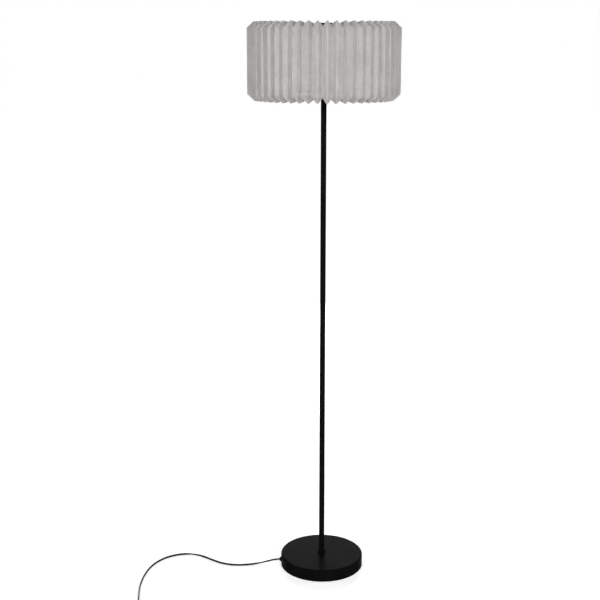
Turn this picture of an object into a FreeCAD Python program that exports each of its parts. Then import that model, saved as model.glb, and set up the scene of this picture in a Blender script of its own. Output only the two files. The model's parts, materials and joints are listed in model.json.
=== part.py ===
import FreeCAD, Part
import math
import os
import re
import Sketcher
from FreeCAD import Placement, Rotation, Vector

# Pleated floor lamp. The origin is on the floor under the pole, +Z is up, -Y is the front
# and the mains cord leaves the foot towards -X. Lengths are millimetres, angles degrees.

SIZES = {
    # Whole lamp
    "overall_height": 1500,
    "fit_gap": 0.05,
    "seat_gap": 0.2,
    # Foot
    "base_diameter": 230,
    "base_height": 34,
    "cover_wall": 1.2,
    "cover_lift": 1,
    "rim_radius": 4,
    "pad_thickness": 2.5,
    "pad_margin": 1,
    "weight_gap": 0.5,
    "recess_diameter": 60,
    "recess_roof": 26,
    "channel_width": 16,
    "channel_roof": 20,
    "washer_diameter": 28,
    "washer_thickness": 1.5,
    "lock_washer_diameter": 18,
    "lock_washer_split": 1.5,
    "nut_width": 17,
    "nut_thickness": 5,
    # Pole
    "pole_diameter": 15,
    "pole_wall": 1,
    "pole_chamfer": 0.3,
    "collar_diameter": 22,
    "collar_height": 7,
    "collar_round": 2,
    "insert_length": 14,
    "thread_diameter": 10,
    "thread_bore": 8,
    "thread_grip": 12,
    "thread_end": 1.5,
    # Harp that carries the shade
    "saddle_span": 54,
    "saddle_width": 14,
    "saddle_thickness": 1.6,
    "ear_height": 13,
    "ear_width": 4.4,
    "ear_gap": 0.1,
    "harp_height": 172,
    "harp_wire": 4,
    "harp_width": 104,
    "harp_leg": 32,
    "harp_flare": 62,
    "boss_diameter": 12,
    "boss_height": 7,
    "stud_diameter": 6,
    "stud_length": 7.5,
    "sleeve_wall": 1.2,
    "sleeve_height": 12,
    "sleeve_gap": 0.3,
    # Lampholder
    "cap_diameter": 33,
    "cap_height": 20,
    "cap_wall": 1,
    "cap_floor_diameter": 16,
    "shell_wall": 0.8,
    "shell_lap": 8,
    "shell_height": 46,
    "liner_wall": 0.8,
    "core_height": 24,
    "screw_bore": 26.5,
    "screw_wall": 0.4,
    "screw_depth": 16,
    "contact_diameter": 8,
    "contact_thickness": 1.2,
    # Turn knob of the lampholder
    "knob_shaft": 5,
    "knob_shaft_length": 26,
    "knob_depth": 8,
    "knob_diameter": 11,
    "knob_length": 13,
    "knob_round": 1.5,
    "knob_flutes": 12,
    "knob_flute_diameter": 1.8,
    "knob_rise": 30,
    # Bulb
    "bulb_cap_diameter": 26,
    "bulb_cap_height": 22,
    "bulb_tip_diameter": 9,
    "bulb_tip_height": 2.5,
    "bulb_diameter": 60,
    "bulb_neck_diameter": 30,
    "bulb_collar_height": 26,
    "bulb_collar_diameter": 46,
    "bulb_glass": 1,
    # Shade
    "shade_diameter": 395,
    "shade_height": 198,
    "pleat_count": 50,
    "pleat_depth": 17.5,
    "pleat_skin": 0.8,
    "pleat_turn": -1.5,
    "bevel_height": 16.5,
    "hem_width": 30,
    "hem_crest_rise": 11.5,
    "hem_valley_rise": 4,
    "frame_wire": 3.2,
    "frame_inset": 28,
    "frame_gap": 0.3,
    "hub_diameter": 26,
    "hub_thickness": 2.5,
    "hub_gap": 0.3,
    "arm_count": 3,
    "arm_root": 2,
    # Finial
    "finial_diameter": 44,
    "finial_disc": 5,
    "finial_round": 1.5,
    "finial_neck": 2,
    "finial_neck_diameter": 18,
    "finial_roof": 1.8,
    "finial_drop": 4,
    # Mains cord
    "cord_diameter": 5.4,
    "cable_bend": 10.5,
    "cable_floor": 6.5,
    "cable_inlet": 24,
    "cable_slope_end": 52,
    "gland_height": 12,
    "gland_length": 5,
    "gland_base_diameter": 16,
    "gland_tip_diameter": 8.2,
    "gland_neck_diameter": 10.8,
    "gland_flange_diameter": 14,
    "gland_flange": 2,
    "gland_seat": 0.4,
    # Coil of spare cord with its tie
    "coil_diameter": 76,
    "coil_gap": 0.6,
    "layer_gap": 0.5,
    "coil_half_turns": 5,
    "climb_steepness": 1.5,
    "tie_wall": 0.8,
    "tie_gap": 0.3,
    "tie_slack": 1.2,
    "tie_width": 10,
    # Plug
    "plug_width": 24,
    "plug_thickness": 14.6,
    "plug_round": 3,
    "plug_length": 34,
    "plug_neck_width": 10,
    "plug_neck_thickness": 8.6,
    "plug_neck_length": 12,
    "plug_shoulder": 6,
    "blade_spacing": 12.7,
    "blade_width": 6.35,
    "blade_thickness": 1.5,
    "blade_length": 15.9,
    "blade_hole": 3.2,
    "blade_hole_inset": 4.5,
}

POLE_SECTIONS = ("pole_lower", "pole_middle", "pole_upper")
NUT_SIDES = 6

# Places and sizes that follow from the driving ones
PLACES = {
    "base_radius": "base_diameter / 2",
    "weight_radius": "base_radius - cover_wall - weight_gap",
    "weight_top": "base_height - cover_wall",
    "thread_hole": "thread_diameter / 2 + fit_gap",
    "washer_floor": "recess_roof - washer_thickness",
    "lock_washer_floor": "washer_floor - washer_thickness",
    "nut_floor": "lock_washer_floor - nut_thickness",
    "nipple_floor": "nut_floor - thread_end",
    "pole_radius": "pole_diameter / 2",
    "pole_bore": "pole_radius - pole_wall",
    "finial_top": "overall_height - finial_drop",
    "finial_floor": "finial_top - finial_disc - finial_neck",
    "hub_top": "finial_floor - seat_gap",
    "hub_floor": "hub_top - hub_thickness",
    "boss_top": "hub_floor - seat_gap",
    "saddle_top": "boss_top - harp_height",
    "pole_top": "saddle_top - saddle_thickness",
    "section_length": f"(pole_top - base_height) / {len(POLE_SECTIONS)}",
    "ear_outside": "saddle_span / 2",
    "ear_inside": "ear_outside - saddle_thickness",
    "leg_offset": "ear_outside + ear_gap + harp_wire / 2",
    "leg_floor": "saddle_top + sleeve_gap",
    "sleeve_offset": "(ear_inside + leg_offset + harp_wire / 2) / 2",
    "sleeve_reach": "leg_offset + harp_wire / 2 - sleeve_offset",
    "sleeve_bore": "sqrt(sleeve_reach ^ 2 + (ear_width / 2) ^ 2) + sleeve_gap",
    "shell_radius": "cap_diameter / 2 - cap_wall - fit_gap",
    "shell_floor": "saddle_top + cap_height - shell_lap",
    "shell_top": "shell_floor + shell_height",
    "liner_radius": "shell_radius - shell_wall - fit_gap",
    "liner_bore": "liner_radius - liner_wall",
    "screw_radius": "screw_bore / 2 + screw_wall",
    "screw_top": "shell_top - shell_wall",
    "core_top": "screw_top - screw_depth",
    "core_floor": "core_top - core_height",
    "contact_top": "core_top + contact_thickness",
    "knob_height": "saddle_top + knob_rise",
    "bulb_floor": "contact_top + seat_gap",
    "bulb_cap_floor": "bulb_floor + bulb_tip_height",
    "bulb_cap_top": "bulb_cap_floor + bulb_cap_height",
    "bulb_collar_top": "bulb_cap_top + bulb_collar_height",
    "shade_bottom": "overall_height - shade_height",
    "crest_radius": "shade_diameter / 2",
    "valley_radius": "crest_radius - pleat_depth",
    "hem_radius": "valley_radius - hem_width",
    "ring_radius": "valley_radius - 2 * pleat_skin - frame_gap - frame_wire / 2",
    "top_ring_height": "overall_height - frame_inset",
    "bottom_ring_height": "shade_bottom + frame_inset",
    "cord_radius": "cord_diameter / 2",
    "gland_mouth": "-base_radius - gland_length",
    "coil_floor": "tie_wall + tie_gap + cord_radius",
    "coil_rise": "cord_diameter + layer_gap",
    "coil_step": "(cord_diameter + coil_gap) / 2",
}

# Route of the cord on the floor, from the gland to the coil and from the coil to the plug
LEAD_POINTS = [
    Vector(-134, 0, 12),
    Vector(-152, -2, 8),
    Vector(-172, -5.5, 4.2),
    Vector(-196, -13.5, 3),
    Vector(-226, -21.5, 3),
    Vector(-258, -20, 3),
    Vector(-288, -6, 3),
    Vector(-316, 15, 3),
    Vector(-345, 38.5, 3),
    Vector(-375, 50.5, 3),
    Vector(-406, 49, 3),
    Vector(-438, 35, 3),
    Vector(-465, 8, 3),
    Vector(-483, -27, 3),
    Vector(-493, -68, 3),
    Vector(-498, -112, 3),
    Vector(-498, -158, 3),
    Vector(-493, -204, 3.3),
    Vector(-488, -248, 3.8),
    Vector(-488, -285, 3.8),
]
TAIL_POINTS = [
    Vector(-482, -312, 9.7),
    Vector(-478, -334, 8.8),
    Vector(-470, -356, 7.6),
    Vector(-462, -372, 7.6),
]

# Share of the shorter run that a bend of the cord takes up
BEND_SHARE = 0.45

UP = Vector(0, 0, 1)
EXPORTED = []

doc = FreeCAD.newDocument("PleatedFloorLamp")
sheet = doc.addObject("Spreadsheet::Sheet", "Sizes")


def fill_sheet():
    cells = {name: str(amount) for name, amount in SIZES.items()}
    cells.update({name: "=" + formula for name, formula in PLACES.items()})
    for row, (name, content) in enumerate(cells.items(), start=1):
        sheet.set(f"A{row}", name)
        sheet.set(f"B{row}", content)
        sheet.setAlias(f"B{row}", name)
    doc.recompute()


def bound(formula):
    """The formula with every size name pointed at the sheet."""
    def point(match):
        name = match.group(0)
        return f"Sizes.{name}" if name in SIZES or name in PLACES else name
    return re.sub(r"[a-z_]+", point, formula)


def value(formula):
    return float(sheet.evalExpression(formula))


def tie(item, target, formula):
    item.setExpression(target, bound(formula))


def keep(item):
    """Marks an object as a finished sub-part with a file of its own."""
    EXPORTED.append(item)
    return item


# Sketches


def origin_feature(body, role):
    return next(item for item in body.Origin.OriginFeatures if item.Role == role)


def new_sketch(body, name, plane, offset="0"):
    sketch = body.newObject("Sketcher::SketchObject", name)
    sketch.AttachmentSupport = [(origin_feature(body, plane), "")]
    sketch.MapMode = "FlatFace"
    tie(sketch, "AttachmentOffset.Base.z", offset)
    return sketch


def pin_point(sketch, edge, end, across, along):
    """Ties one end of a sketch edge to a pair of formulas."""
    for kind, axis, formula in (("DistanceX", -2, across), ("DistanceY", -1, along)):
        if formula == "0":
            sketch.addConstraint(Sketcher.Constraint("PointOnObject", edge, end, axis))
            continue
        number = sketch.addConstraint(Sketcher.Constraint(kind, -1, 1, edge, end, value(formula)))
        tie(sketch, f"Constraints[{number}]", formula)


def arc_through(start, end, radius, bend):
    """Arc shorter than a half circle from start to end, bending left (1) or right (-1)."""
    chord = end - start
    reach = math.sqrt(max(radius ** 2 - (chord.Length / 2) ** 2, 0))
    sideways = Vector(-chord.y, chord.x, 0).normalize()
    center = (start + end) * 0.5 + sideways * (bend * reach)
    first, last = (start, end) if bend > 0 else (end, start)
    angles = [math.atan2(point.y - center.y, point.x - center.x) for point in (first, last)]
    if angles[1] <= angles[0]:
        angles[1] += 2 * math.pi
    return Part.ArcOfCircle(Part.Circle(center, UP, radius), *angles)


def draw_outline(sketch, corners, closed=True):
    """Edges through corners (across, along), or (across, along, radius, bend) before an arc."""
    points = [Vector(value(corner[0]), value(corner[1]), 0) for corner in corners]
    count = len(corners) if closed else len(corners) - 1
    ends = []
    for index in range(count):
        start = points[index]
        end = points[(index + 1) % len(points)]
        curve = corners[index][2:]
        if curve:
            radius, bend = curve
            edge = sketch.addGeometry(arc_through(start, end, value(radius), bend), False)
            number = sketch.addConstraint(Sketcher.Constraint("Radius", edge, value(radius)))
            tie(sketch, f"Constraints[{number}]", radius)
            ends.append((1, 2) if bend > 0 else (2, 1))
        else:
            edge = sketch.addGeometry(Part.LineSegment(start, end), False)
            ends.append((1, 2))
        if index:
            joint = Sketcher.Constraint("Coincident", edge - 1, ends[index - 1][1], edge, ends[index][0])
            sketch.addConstraint(joint)
        pin_point(sketch, edge, ends[index][0], corners[index][0], corners[index][1])
    if closed:
        sketch.addConstraint(Sketcher.Constraint("Coincident", count - 1, ends[-1][1], 0, ends[0][0]))
    else:
        pin_point(sketch, count - 1, ends[-1][1], corners[-1][0], corners[-1][1])
    return sketch


def draw_circle(sketch, across, along, radius):
    center = Vector(value(across), value(along), 0)
    edge = sketch.addGeometry(Part.Circle(center, UP, value(radius)), False)
    pin_point(sketch, edge, 3, across, along)
    number = sketch.addConstraint(Sketcher.Constraint("Radius", edge, value(radius)))
    tie(sketch, f"Constraints[{number}]", radius)
    return sketch


# Ways of making a piece


def new_body(label):
    return keep(doc.addObject("PartDesign::Body", label))


def add_turning(body, name, corners):
    """A solid of revolution about the body's Z axis."""
    sketch = draw_outline(new_sketch(body, name + "_profile", "XZ_Plane"), corners)
    turning = body.newObject("PartDesign::Revolution", name)
    turning.Profile = sketch
    turning.ReferenceAxis = (sketch, ["V_Axis"])
    turning.Angle = 360
    return turning


def turned_body(label, corners):
    body = new_body(label)
    add_turning(body, label + "_turning", corners)
    return body


def cut_through(body, sketch, both_ways=False, along_normal=False):
    """Cuts the sketch out of the body and checks that material went."""
    doc.recompute()
    before = body.Shape.Volume
    pocket = body.newObject("PartDesign::Pocket", sketch.Name + "_cut")
    pocket.Profile = sketch
    pocket.Type = "ThroughAll"
    pocket.SideType = "Symmetric" if both_ways else "One side"
    pocket.Reversed = along_normal
    doc.recompute()
    if body.Shape.Volume >= before:
        raise ValueError(f"{sketch.Name} cut nothing")
    return pocket


def rectangle(left, bottom, right, top):
    return [(left, bottom), (right, bottom), (right, top), (left, top)]


def new_cylinder(name, radius, height, bottom):
    cylinder = doc.addObject("Part::Cylinder", name)
    tie(cylinder, "Radius", radius)
    tie(cylinder, "Height", height)
    tie(cylinder, "Placement.Base.z", bottom)
    return cylinder


def new_cut(name, base, tool):
    cut = doc.addObject("Part::Cut", name)
    cut.Base = base
    cut.Tool = tool
    return cut


def new_tube(name, outside, bore, bottom, height):
    solid = new_cylinder(name + "_outside", outside, height, bottom)
    hollow = new_cylinder(name + "_bore", bore, height, bottom)
    return new_cut(name, solid, hollow)


def new_group(label, members):
    group = doc.addObject("Part::Compound", label)
    group.Links = members
    return keep(group)


def set_shape(label, shape):
    item = doc.addObject("Part::Feature", label)
    item.Shape = shape
    item.Placement = Placement()
    return keep(item)


# Foot


def make_base_cover():
    body = turned_body("base_cover", [
        ("thread_hole", "base_height"),
        ("base_radius - rim_radius", "base_height", "rim_radius", -1),
        ("base_radius", "base_height - rim_radius"),
        ("base_radius", "cover_lift"),
        ("base_radius - cover_wall", "cover_lift"),
        ("base_radius - cover_wall", "base_height - rim_radius", "rim_radius - cover_wall", 1),
        ("base_radius - rim_radius", "base_height - cover_wall"),
        ("thread_hole", "base_height - cover_wall"),
    ])
    hole = new_sketch(body, "gland_hole", "YZ_Plane")
    draw_circle(hole, "0", "gland_height", "gland_neck_diameter / 2 + fit_gap")
    cut_through(body, hole)


def make_base_weight():
    body = turned_body("base_weight", [
        ("thread_hole", "recess_roof"),
        ("recess_diameter / 2", "recess_roof"),
        ("recess_diameter / 2", "pad_thickness"),
        ("weight_radius", "pad_thickness"),
        ("weight_radius", "weight_top - rim_radius"),
        ("weight_radius - rim_radius", "weight_top"),
        ("thread_hole", "weight_top"),
    ])
    channel = new_sketch(body, "cable_channel", "YZ_Plane")
    draw_outline(channel, rectangle("-channel_width / 2", "0", "channel_width / 2", "channel_roof"))
    cut_through(body, channel)


def make_base_pad():
    radius = "base_radius - cover_wall - pad_margin"
    turned_body("base_pad", rectangle("0", "0", radius, "pad_thickness"))


def make_base_fasteners():
    thread = "thread_hole"
    keep(new_tube("base_washer", "washer_diameter / 2", thread, "washer_floor", "washer_thickness"))
    ring = new_tube("lock_washer_ring", "lock_washer_diameter / 2", thread,
                    "lock_washer_floor", "washer_thickness")
    split = doc.addObject("Part::Box", "lock_washer_gap")
    tie(split, "Length", "lock_washer_diameter")
    tie(split, "Width", "lock_washer_split")
    tie(split, "Height", "washer_thickness")
    tie(split, "Placement.Base.y", "-lock_washer_split / 2")
    tie(split, "Placement.Base.z", "lock_washer_floor")
    keep(new_cut("base_lock_washer", ring, split))
    block = doc.addObject("Part::Prism", "nut_block")
    block.Polygon = NUT_SIDES
    tie(block, "Circumradius", "nut_width / sqrt(3)")
    tie(block, "Height", "nut_thickness")
    tie(block, "Placement.Base.z", "nut_floor")
    keep(new_cut("base_nut", block, new_cylinder("nut_bore", thread, "nut_thickness", "nut_floor")))


def make_pole_collar():
    turned_body("pole_collar", [
        ("pole_radius + fit_gap", "base_height"),
        ("collar_diameter / 2", "base_height"),
        ("collar_diameter / 2", "base_height + collar_height - collar_round", "collar_round", 1),
        ("collar_diameter / 2 - collar_round", "base_height + collar_height"),
        ("pole_radius + fit_gap", "base_height + collar_height"),
    ])


# Pole of screwed tubes


def make_pole():
    inserts = []
    nipples = []
    for index, label in enumerate(POLE_SECTIONS):
        bottom = f"base_height + {index} * section_length"
        top = f"{bottom} + section_length"
        turned_body(label, [
            ("pole_bore", bottom),
            ("pole_radius - pole_chamfer", bottom),
            ("pole_radius", f"{bottom} + pole_chamfer"),
            ("pole_radius", f"{top} - pole_chamfer"),
            ("pole_radius - pole_chamfer", top),
            ("pole_bore", top),
        ])
        for name, floor in (("foot", bottom), ("head", f"{top} - insert_length")):
            inserts.append(new_tube(f"{label}_{name}_insert", "pole_bore - fit_gap", "thread_hole",
                                    floor, "insert_length"))
        if index:
            nipples.append(new_tube(f"{label}_nipple", "thread_diameter / 2", "thread_bore / 2",
                                    f"{bottom} - thread_grip", "2 * thread_grip"))
    new_group("pole_inserts", inserts)
    new_group("coupling_nipples", nipples)
    keep(new_tube("base_nipple", "thread_diameter / 2", "thread_bore / 2", "nipple_floor",
                  "base_height + thread_grip - nipple_floor"))
    keep(new_tube("top_nipple", "thread_diameter / 2", "thread_bore / 2", "pole_top - thread_grip",
                  "thread_grip + saddle_thickness + cap_wall + thread_end"))


# Harp and finial


def make_harp_saddle():
    body = new_body("harp_saddle")
    ear_top = "saddle_top + ear_height"
    profile = new_sketch(body, "saddle_profile", "XZ_Plane")
    draw_outline(profile, [
        ("-ear_outside", "pole_top"),
        ("ear_outside", "pole_top"),
        ("ear_outside", ear_top),
        ("ear_inside", ear_top),
        ("ear_inside", "saddle_top"),
        ("-ear_inside", "saddle_top"),
        ("-ear_inside", ear_top),
        ("-ear_outside", ear_top),
    ])
    strip = body.newObject("PartDesign::Pad", "saddle_strip")
    strip.Profile = profile
    strip.SideType = "Symmetric"
    tie(strip, "Length", "saddle_width")
    for name, side in (("front_trim", "-"), ("back_trim", "")):
        trim = new_sketch(body, name, "YZ_Plane")
        near, far = sorted((f"{side}ear_width / 2", f"{side}saddle_width"), key=value)
        draw_outline(trim, rectangle(near, "saddle_top", far, f"{ear_top} + saddle_thickness"))
        cut_through(body, trim, both_ways=True)
    hole = draw_circle(new_sketch(body, "saddle_hole", "XY_Plane"), "0", "0", "thread_hole")
    cut_through(body, hole, both_ways=True)


def harp_corners():
    """Wire from the right foot over the top to the left foot, all bends tangent."""
    wide = "harp_width / 2"
    knee = "leg_floor + harp_leg"
    half_step = "(harp_width / 2 - leg_offset) / 2"
    bend = f"((harp_flare / 2) ^ 2 + ({half_step}) ^ 2) / (2 * ({half_step}))"
    crown = "boss_top - boss_height / 2"
    shoulder = f"{wide} - boss_diameter / 2"
    right = [
        ("leg_offset", "leg_floor"),
        ("leg_offset", knee, bend, -1),
        (f"leg_offset + {half_step}", f"{knee} + harp_flare / 2", bend, 1),
        (wide, f"{knee} + harp_flare"),
        (wide, f"{crown} - ({shoulder})", shoulder, 1),
        ("boss_diameter / 2", crown),
    ]
    left = [
        ("-boss_diameter / 2", crown, shoulder, 1),
        (f"-({wide})", f"{crown} - ({shoulder})"),
        (f"-({wide})", f"{knee} + harp_flare", bend, 1),
        (f"-(leg_offset + {half_step})", f"{knee} + harp_flare / 2", bend, -1),
        ("-leg_offset", knee),
        ("-leg_offset", "leg_floor"),
    ]
    return right + left


def make_harp():
    body = new_body("harp")
    path = draw_outline(new_sketch(body, "harp_path", "XZ_Plane"), harp_corners(), closed=False)
    section = new_sketch(body, "harp_section", "XY_Plane", "leg_floor")
    draw_circle(section, "leg_offset", "0", "harp_wire / 2")
    wire = body.newObject("PartDesign::AdditivePipe", "harp_wire_pipe")
    wire.Profile = section
    wire.Spine = path
    add_turning(body, "harp_stud", [
        ("0", "boss_top - boss_height"),
        ("boss_diameter / 2", "boss_top - boss_height"),
        ("boss_diameter / 2", "boss_top"),
        ("stud_diameter / 2", "boss_top"),
        ("stud_diameter / 2", "boss_top + stud_length"),
        ("0", "boss_top + stud_length"),
    ])


def make_harp_sleeves():
    for label, side in (("harp_sleeve_left", "-"), ("harp_sleeve_right", "")):
        outside = "sleeve_bore + sleeve_wall"
        body = turned_body(label, rectangle("sleeve_bore", "leg_floor", outside, "leg_floor + sleeve_height"))
        tie(body, "Placement.Base.x", f"{side}sleeve_offset")


def make_finial():
    thread = "stud_diameter / 2 + fit_gap"
    edge = "finial_diameter / 2"
    turned_body("finial", [
        ("0", "finial_top - finial_roof"),
        (thread, "finial_top - finial_roof"),
        (thread, "finial_floor"),
        ("finial_neck_diameter / 2", "finial_floor"),
        ("finial_neck_diameter / 2", "finial_floor + finial_neck"),
        (f"{edge} - finial_round", "finial_floor + finial_neck", "finial_round", 1),
        (edge, "finial_floor + finial_neck + finial_round"),
        (edge, "finial_top - finial_round", "finial_round", 1),
        (f"{edge} - finial_round", "finial_top"),
        ("0", "finial_top"),
    ])


# Lampholder


def make_socket_cap():
    round_outside = "(cap_diameter - cap_floor_diameter) / 2"
    turned_body("socket_cap", [
        ("thread_hole", "saddle_top"),
        ("cap_floor_diameter / 2", "saddle_top", round_outside, 1),
        ("cap_diameter / 2", f"saddle_top + {round_outside}"),
        ("cap_diameter / 2", "saddle_top + cap_height"),
        ("cap_diameter / 2 - cap_wall", "saddle_top + cap_height"),
        ("cap_diameter / 2 - cap_wall", f"saddle_top + {round_outside}", f"{round_outside} - cap_wall", -1),
        ("cap_floor_diameter / 2", "saddle_top + cap_wall"),
        ("thread_hole", "saddle_top + cap_wall"),
    ])


def shaft_hole(body, name):
    """Hole towards the front for the shaft of the turn knob."""
    sketch = new_sketch(body, name, "XZ_Plane")
    draw_circle(sketch, "0", "knob_height", "knob_shaft / 2 + fit_gap")
    cut_through(body, sketch, along_normal=True)


def make_socket_shell():
    body = turned_body("socket_shell", rectangle("shell_radius - shell_wall", "shell_floor",
                                                 "shell_radius", "shell_top"))
    shaft_hole(body, "shell_shaft_hole")


def make_socket_liner():
    body = turned_body("socket_liner", rectangle("liner_bore", "shell_floor", "liner_radius", "screw_top"))
    shaft_hole(body, "liner_shaft_hole")


def make_socket_core():
    radius = "screw_radius"
    body = turned_body("socket_core", rectangle("0", "core_floor", radius, "core_top"))
    shaft_hole(body, "core_shaft_hole")


def make_socket_screw_shell():
    keep(new_tube("socket_screw_shell", "screw_radius", "screw_bore / 2", "core_top", "screw_depth"))


def make_socket_contact():
    keep(new_cylinder("socket_contact", "contact_diameter / 2", "contact_thickness", "core_top"))


def make_switch_knob():
    """Knob and shaft along local Z, laid over so that the knob points to the front."""
    grip = "knob_diameter / 2"
    handle = "knob_shaft_length - knob_depth"
    tip = f"{handle} + knob_length"
    body = turned_body("switch_knob", [
        ("0", "-knob_depth"),
        ("knob_shaft / 2", "-knob_depth"),
        ("knob_shaft / 2", handle),
        (grip, handle),
        (grip, f"{tip} - knob_round", "knob_round", 1),
        (f"{grip} - knob_round", tip),
        ("0", tip),
    ])
    flute = new_sketch(body, "knob_flute", "XY_Plane", handle)
    draw_circle(flute, grip, "0", "knob_flute_diameter / 2")
    cut = cut_through(body, flute, along_normal=True)
    flutes = body.newObject("PartDesign::PolarPattern", "knob_flute_ring")
    flutes.Originals = [cut]
    flutes.Axis = (flute, ["N_Axis"])
    flutes.Angle = 360
    tie(flutes, "Occurrences", "knob_flutes")
    body.Tip = flutes
    body.Placement = Placement(Vector(), Rotation(Vector(1, 0, 0), 90))
    tie(body, "Placement.Base.y", "-liner_bore + knob_depth / 2")
    tie(body, "Placement.Base.z", "knob_height")


# Bulb


def make_bulb():
    turned_body("bulb_contact", rectangle("0", "bulb_floor", "bulb_tip_diameter / 2", "bulb_cap_floor"))
    turned_body("bulb_cap", rectangle("0", "bulb_cap_floor", "bulb_cap_diameter / 2", "bulb_cap_top"))
    turned_body("bulb_collar", [
        ("0", "bulb_cap_top"),
        ("bulb_neck_diameter / 2", "bulb_cap_top"),
        ("bulb_collar_diameter / 2", "bulb_collar_top"),
        ("0", "bulb_collar_top"),
    ])
    make_bulb_globe()


def make_bulb_globe():
    ball = "bulb_diameter / 2"
    seat = "bulb_collar_diameter / 2"
    center = f"bulb_collar_top + sqrt(({ball}) ^ 2 - ({seat}) ^ 2)"
    inner = f"({ball} - bulb_glass)"
    inner_seat = f"sqrt({inner} ^ 2 - ({ball}) ^ 2 + ({seat}) ^ 2)"
    turned_body("bulb_globe", [
        (inner_seat, "bulb_collar_top"),
        (seat, "bulb_collar_top", ball, 1),
        (ball, center, ball, 1),
        ("0", f"{center} + {ball}"),
        ("0", f"{center} + {inner}", inner, -1),
        (inner, center, inner, -1),
    ])


# Pleated shade


def flat_face(corners):
    return Part.Face(Part.makePolygon(corners + corners[:1]))


def polar_point(radius, angle, height):
    return Vector(radius * math.sin(angle), -radius * math.cos(angle), height)


def pleat_rows(crest, valley, lift, crest_angle, valley_angle):
    """Points across one half pleat, on its crest and valley lines, from hem to hem.

    Each hem is folded in at the bevel and flattens towards its inner edge."""
    hem = value("hem_radius")
    bevel = value("bevel_height") + lift
    hem_crest = value("hem_crest_rise") + lift
    hem_valley = value("hem_valley_rise") + lift
    bottom = value("shade_bottom")
    top = value("overall_height")
    rows = (
        (hem, bottom + hem_crest, hem, bottom + hem_valley),
        (crest, bottom + bevel, valley, bottom + lift),
        (crest, top - bevel, valley, top - lift),
        (hem, top - hem_crest, hem, top - hem_valley),
    )
    return [(polar_point(crest_line, crest_angle, crest_level),
             polar_point(valley_line, valley_angle, valley_level))
            for crest_line, crest_level, valley_line, valley_level in rows]


def pleat_faces(rows):
    """The flat panel of a half pleat, and the two triangles of the hem at each of its ends."""
    bottom_hem, bottom_bevel, top_bevel, top_hem = rows
    faces = [flat_face([*bottom_bevel, *reversed(top_bevel)])]
    for hem, bevel in ((bottom_hem, bottom_bevel), (top_hem, top_bevel)):
        faces.append(flat_face([*bevel, hem[1]]))
        faces.append(flat_face([bevel[0], hem[1], hem[0]]))
    return faces


def make_shade_fabric():
    """Zigzag skin with folded-in hems: an outer and an inner layer, closed along the hems' inner edges."""
    count = int(value("pleat_count"))
    half_step = math.pi / count
    crest = value("crest_radius")
    valley = value("valley_radius")
    skin = value("pleat_skin")
    slope = math.atan2(valley * math.sin(half_step), crest - valley * math.cos(half_step))
    inner_crest = crest - skin / math.sin(slope)
    inner_valley = valley - skin / math.sin(slope + half_step)
    half_width = crest * math.sin(half_step)
    lift = skin * math.hypot(half_width, value("bevel_height")) / half_width
    first = math.radians(value("pleat_turn"))
    faces = []
    for index in range(count):
        crest_angle = first + 2 * index * half_step
        for valley_angle in (crest_angle - half_step, crest_angle + half_step):
            outer = pleat_rows(crest, valley, 0, crest_angle, valley_angle)
            inner = pleat_rows(inner_crest, inner_valley, lift, crest_angle, valley_angle)
            faces += pleat_faces(outer) + pleat_faces(inner)
            for end in (0, -1):
                faces.append(flat_face([*outer[end], *reversed(inner[end])]))
    skin_shell = Part.makeShell(faces)
    skin_shell.sewShape()
    solid = Part.makeSolid(skin_shell)
    if solid.Volume < 0:
        solid.reverse()
    set_shape("shade_fabric", solid)


def make_shade_top_frame():
    """Hub, arms and top ring welded into one wire frame."""
    body = new_body("shade_top_frame")
    body.AllowCompound = True
    hub_middle = "hub_top - hub_thickness / 2"
    hole = "stud_diameter / 2 + hub_gap"
    add_turning(body, "frame_hub", rectangle(hole, "hub_floor", "hub_diameter / 2", "hub_top"))
    root = "hub_diameter / 2 - arm_root"
    spine = draw_outline(new_sketch(body, "arm_spine", "XZ_Plane"),
                         [(root, hub_middle), ("ring_radius", "top_ring_height")], closed=False)
    section = new_sketch(body, "arm_section", "YZ_Plane", root)
    draw_circle(section, "0", hub_middle, "frame_wire / 2")
    arm = body.newObject("PartDesign::AdditivePipe", "frame_arm")
    arm.Profile = section
    arm.Spine = spine
    doc.recompute()
    arms = body.newObject("PartDesign::PolarPattern", "frame_arms")
    arms.Originals = [arm]
    arms.Axis = (origin_feature(body, "Z_Axis"), [""])
    arms.Angle = 360
    tie(arms, "Occurrences", "arm_count")
    body.Tip = arms
    circle = draw_circle(new_sketch(body, "ring_section", "XZ_Plane"), "ring_radius", "top_ring_height",
                         "frame_wire / 2")
    ring = body.newObject("PartDesign::Revolution", "frame_ring")
    ring.Profile = circle
    ring.ReferenceAxis = (circle, ["V_Axis"])
    ring.Angle = 360
    body.Placement = Placement(Vector(), Rotation(UP, 90))


def make_shade_bottom_ring():
    ring = doc.addObject("Part::Torus", "shade_bottom_ring")
    tie(ring, "Radius1", "ring_radius")
    tie(ring, "Radius2", "frame_wire / 2")
    tie(ring, "Placement.Base.z", "bottom_ring_height")
    keep(ring)


# Cord


def between(start, end, share):
    return start + (end - start) * share


def arc_from(start, heading, end):
    """Arc that leaves start along heading and reaches end."""
    chord = end - start
    inward = (chord - heading * chord.dot(heading)).normalize()
    radius = chord.dot(chord) / (2 * inward.dot(chord))
    center = start + inward * radius
    middle = center + (between(start, end, 0.5) - center).normalize() * radius
    return Part.Arc(start, middle, end)


def biarc(start, leaving, end, arriving):
    """Two arcs with a common tangent from one point and heading to another."""
    chord = end - start
    both = leaving + arriving
    spread = 2 * (1 - leaving.dot(arriving))
    along = chord.dot(both)
    reach = (math.sqrt(along ** 2 + spread * chord.dot(chord)) - along) / spread
    middle = between(start, end, 0.5) + (leaving - arriving) * (reach / 2)
    return [arc_from(start, leaving, middle), arc_from(end, arriving * -1, middle)]


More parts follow.
